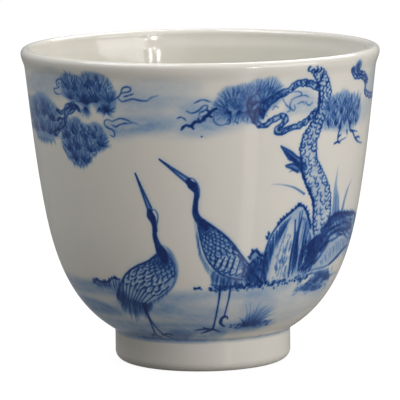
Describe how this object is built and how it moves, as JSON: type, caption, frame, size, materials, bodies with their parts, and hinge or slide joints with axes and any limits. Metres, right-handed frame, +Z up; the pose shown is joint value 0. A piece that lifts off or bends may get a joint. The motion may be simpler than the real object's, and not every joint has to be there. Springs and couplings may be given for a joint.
{
  "type": "teacup",
  "caption": "Handleless porcelain teacup: flared bowl with a rolled lip on a turned foot ring, clear glaze over a blue painted landscape with cranes and a pine.",
  "frame": {"origin": "middle of the face the foot ring stands on", "axes": "+Z up along the cup's axis; the painted front faces -Y"},
  "size_m": [0.09, 0.09, 0.0794],
  "materials": {
    "biscuit": "bare fired porcelain, fine sandy grain, matt",
    "painted_glaze": "clear glaze over white porcelain with cobalt-blue underglaze painting, glossy",
    "clear_glaze": "clear glaze over white porcelain, glossy, faintly grey-green"
  },
  "bodies": {
    "root": {"bowl_body": "biscuit", "foot_ring": "biscuit", "outside_glaze": "painted_glaze", "inside_glaze": "clear_glaze", "foot_well_glaze": "clear_glaze"}
  },
  "joints": []
}
